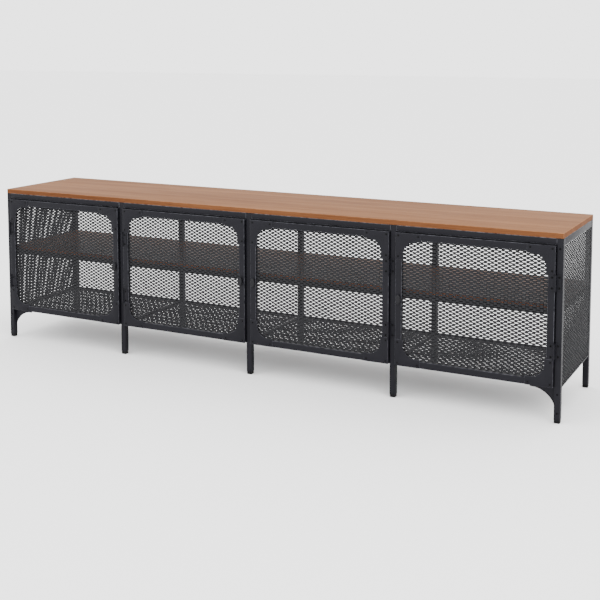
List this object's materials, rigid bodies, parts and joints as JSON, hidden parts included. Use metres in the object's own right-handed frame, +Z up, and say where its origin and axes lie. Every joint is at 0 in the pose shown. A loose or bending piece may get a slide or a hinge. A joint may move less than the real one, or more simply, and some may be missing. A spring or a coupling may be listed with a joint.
{
  "type": "tv stand with doors",
  "caption": "Long low media cabinet: black steel tube frame, wood top and inner shelf, open back, side-hung expanded-mesh doors.",
  "frame": {"origin": "on the floor, under the centre of the bounding box of the whole cabinet with its knobs", "axes": "+X along the length towards the right end seen from the front, the doors face -Y, +Z up"},
  "size_m": [2, 0.3966, 0.54],
  "materials": {
    "top_wood": "brown stained wood-grain top, satin lacquer",
    "shelf_wood": "brown stained wood-grain shelf, satin lacquer",
    "frame_steel": "black powder coat, satin",
    "mesh_steel": "black powder coat over raised expanded metal",
    "foot_plastic": "moulded black plastic",
    "hardware": "black coated steel, semi-gloss",
    "catch_plastic": "moulded black plastic",
    "knob_paint": "black enamel, semi-gloss"
  },
  "bodies": {
    "cabinet": {"top_board": "top_wood", "shelf_board_left": "shelf_wood", "shelf_board_right": "shelf_wood", "front_post_1": "frame_steel", "rear_post_1": "frame_steel", "front_post_2": "frame_steel", "rear_post_2": "frame_steel", "front_post_3": "frame_steel", "rear_post_3": "frame_steel", "front_post_4": "frame_steel", "rear_post_4": "frame_steel", "front_post_5": "frame_steel", "rear_post_5": "frame_steel", "top_rails_front": "frame_steel", "top_rails_rear": "frame_steel", "top_cross_rails": "frame_steel", "shelf_rails_front": "frame_steel", "shelf_rails_rear": "frame_steel", "shelf_cross_rails": "frame_steel", "bottom_rails_front": "frame_steel", "bottom_rails_rear": "frame_steel", "bottom_cross_rails": "frame_steel", "corner_gussets": "frame_steel", "side_mesh_left": "mesh_steel", "side_mesh_right": "mesh_steel", "floor_mesh_panels": "mesh_steel", "foot_caps": "foot_plastic", "frame_screws": "hardware", "board_screws": "hardware", "hinge_post_leaves": "hardware", "hinge_pins": "hardware", "hinge_post_screws": "hardware", "magnetic_catches": "catch_plastic", "door_stops": "frame_steel"},
    "door_1": {"door_1_frame": "frame_steel", "door_1_corner_plates": "frame_steel", "door_1_mesh_panel": "mesh_steel", "door_1_knob": "knob_paint", "door_1_hinge_leaves": "hardware", "door_1_fasteners": "hardware"},
    "door_2": {"door_2_frame": "frame_steel", "door_2_corner_plates": "frame_steel", "door_2_mesh_panel": "mesh_steel", "door_2_knob": "knob_paint", "door_2_hinge_leaves": "hardware", "door_2_fasteners": "hardware"},
    "door_3": {"door_3_frame": "frame_steel", "door_3_corner_plates": "frame_steel", "door_3_mesh_panel": "mesh_steel", "door_3_knob": "knob_paint", "door_3_hinge_leaves": "hardware", "door_3_fasteners": "hardware"},
    "door_4": {"door_4_frame": "frame_steel", "door_4_corner_plates": "frame_steel", "door_4_mesh_panel": "mesh_steel", "door_4_knob": "knob_paint", "door_4_hinge_leaves": "hardware", "door_4_fasteners": "hardware"}
  },
  "joints": [
    {"name": "door_1_hinge", "type": "hinge", "parent": "cabinet", "child": "door_1", "pos_m": [-0.981, -0.19005, 0.304], "axis": [0, 0, -1], "range_deg": [0, 110]},
    {"name": "door_2_hinge", "type": "hinge", "parent": "cabinet", "child": "door_2", "pos_m": [-0.4855, -0.19005, 0.304], "axis": [0, 0, -1], "range_deg": [0, 110]},
    {"name": "door_3_hinge", "type": "hinge", "parent": "cabinet", "child": "door_3", "pos_m": [0.4855, -0.19005, 0.304], "axis": [0, 0, 1], "range_deg": [0, 110]},
    {"name": "door_4_hinge", "type": "hinge", "parent": "cabinet", "child": "door_4", "pos_m": [0.981, -0.19005, 0.304], "axis": [0, 0, 1], "range_deg": [0, 110]}
  ]
}
